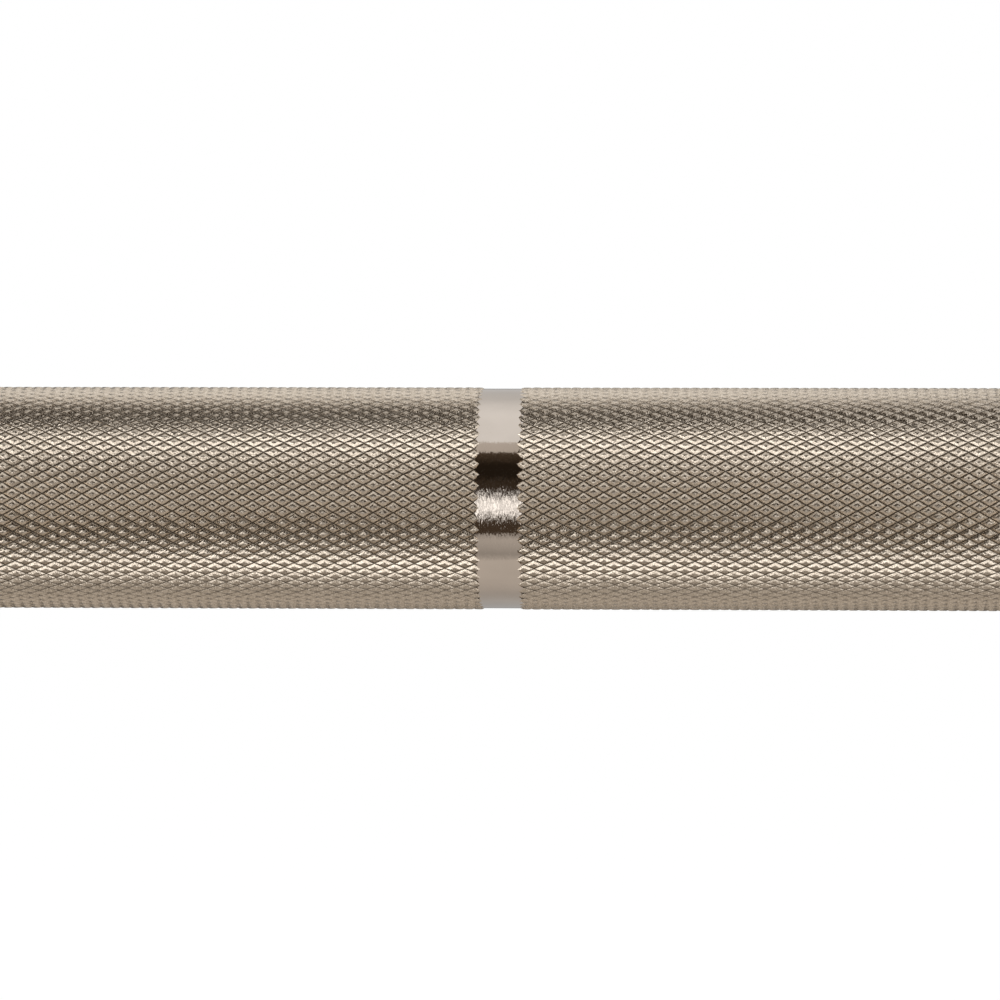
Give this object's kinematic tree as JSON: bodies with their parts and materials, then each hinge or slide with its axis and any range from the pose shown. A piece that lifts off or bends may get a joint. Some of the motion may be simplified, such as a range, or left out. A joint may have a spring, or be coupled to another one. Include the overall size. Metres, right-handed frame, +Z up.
{
  "type": "olympic barbell",
  "caption": "Olympic barbell: a diamond-knurled steel shaft with smooth ring marks, and a bushed, freely spinning sleeve with a stop collar on each end for weight plates.",
  "frame": {"origin": "on the bar's axis, midway between the two sleeves", "axes": "+X along the bar towards the right-hand sleeve, +Z up"},
  "size_m": [2.2, 0.073, 0.073],
  "materials": {
    "shaft_steel": "satin",
    "sleeve_chrome": "satin",
    "bushing_bronze": "satin",
    "washer_steel": "satin",
    "spring_steel": "satin",
    "seal_rubber": "matte",
    "cap_aluminium": "satin"
  },
  "bodies": {
    "shaft": {"shaft": "shaft_steel", "left_shaft_snap_ring": "spring_steel", "right_shaft_snap_ring": "spring_steel"},
    "left_sleeve": {"left_sleeve_tube": "sleeve_chrome", "left_stop_collar": "sleeve_chrome", "left_dust_seal": "seal_rubber", "left_inner_bushing": "bushing_bronze", "left_outer_bushing": "bushing_bronze", "left_end_cap": "cap_aluminium", "left_end_cap_o_ring": "seal_rubber", "left_end_cap_snap_ring": "spring_steel"},
    "left_inner_thrust_washer": {"left_inner_thrust_washer": "washer_steel"},
    "left_outer_thrust_washer": {"left_outer_thrust_washer": "washer_steel"},
    "right_sleeve": {"right_sleeve_tube": "sleeve_chrome", "right_stop_collar": "sleeve_chrome", "right_dust_seal": "seal_rubber", "right_inner_bushing": "bushing_bronze", "right_outer_bushing": "bushing_bronze", "right_end_cap": "cap_aluminium", "right_end_cap_o_ring": "seal_rubber", "right_end_cap_snap_ring": "spring_steel"},
    "right_inner_thrust_washer": {"right_inner_thrust_washer": "washer_steel"},
    "right_outer_thrust_washer": {"right_outer_thrust_washer": "washer_steel"}
  },
  "joints": [
    {"name": "left_sleeve_spin", "type": "hinge", "parent": "shaft", "child": "left_sleeve", "pos_m": [-0.8775, 0, 0], "axis": [1, 0, 0], "continuous": true},
    {"name": "left_inner_washer_spin", "type": "hinge", "parent": "shaft", "child": "left_inner_thrust_washer", "pos_m": [-0.66225, 0, 0], "axis": [1, 0, 0], "continuous": true},
    {"name": "left_outer_washer_spin", "type": "hinge", "parent": "shaft", "child": "left_outer_thrust_washer", "pos_m": [-1.084, 0, 0], "axis": [1, 0, 0], "continuous": true},
    {"name": "right_sleeve_spin", "type": "hinge", "parent": "shaft", "child": "right_sleeve", "pos_m": [0.8775, 0, 0], "axis": [1, 0, 0], "continuous": true},
    {"name": "right_inner_washer_spin", "type": "hinge", "parent": "shaft", "child": "right_inner_thrust_washer", "pos_m": [0.66225, 0, 0], "axis": [1, 0, 0], "continuous": true},
    {"name": "right_outer_washer_spin", "type": "hinge", "parent": "shaft", "child": "right_outer_thrust_washer", "pos_m": [1.084, 0, 0], "axis": [1, 0, 0], "continuous": true}
  ]
}
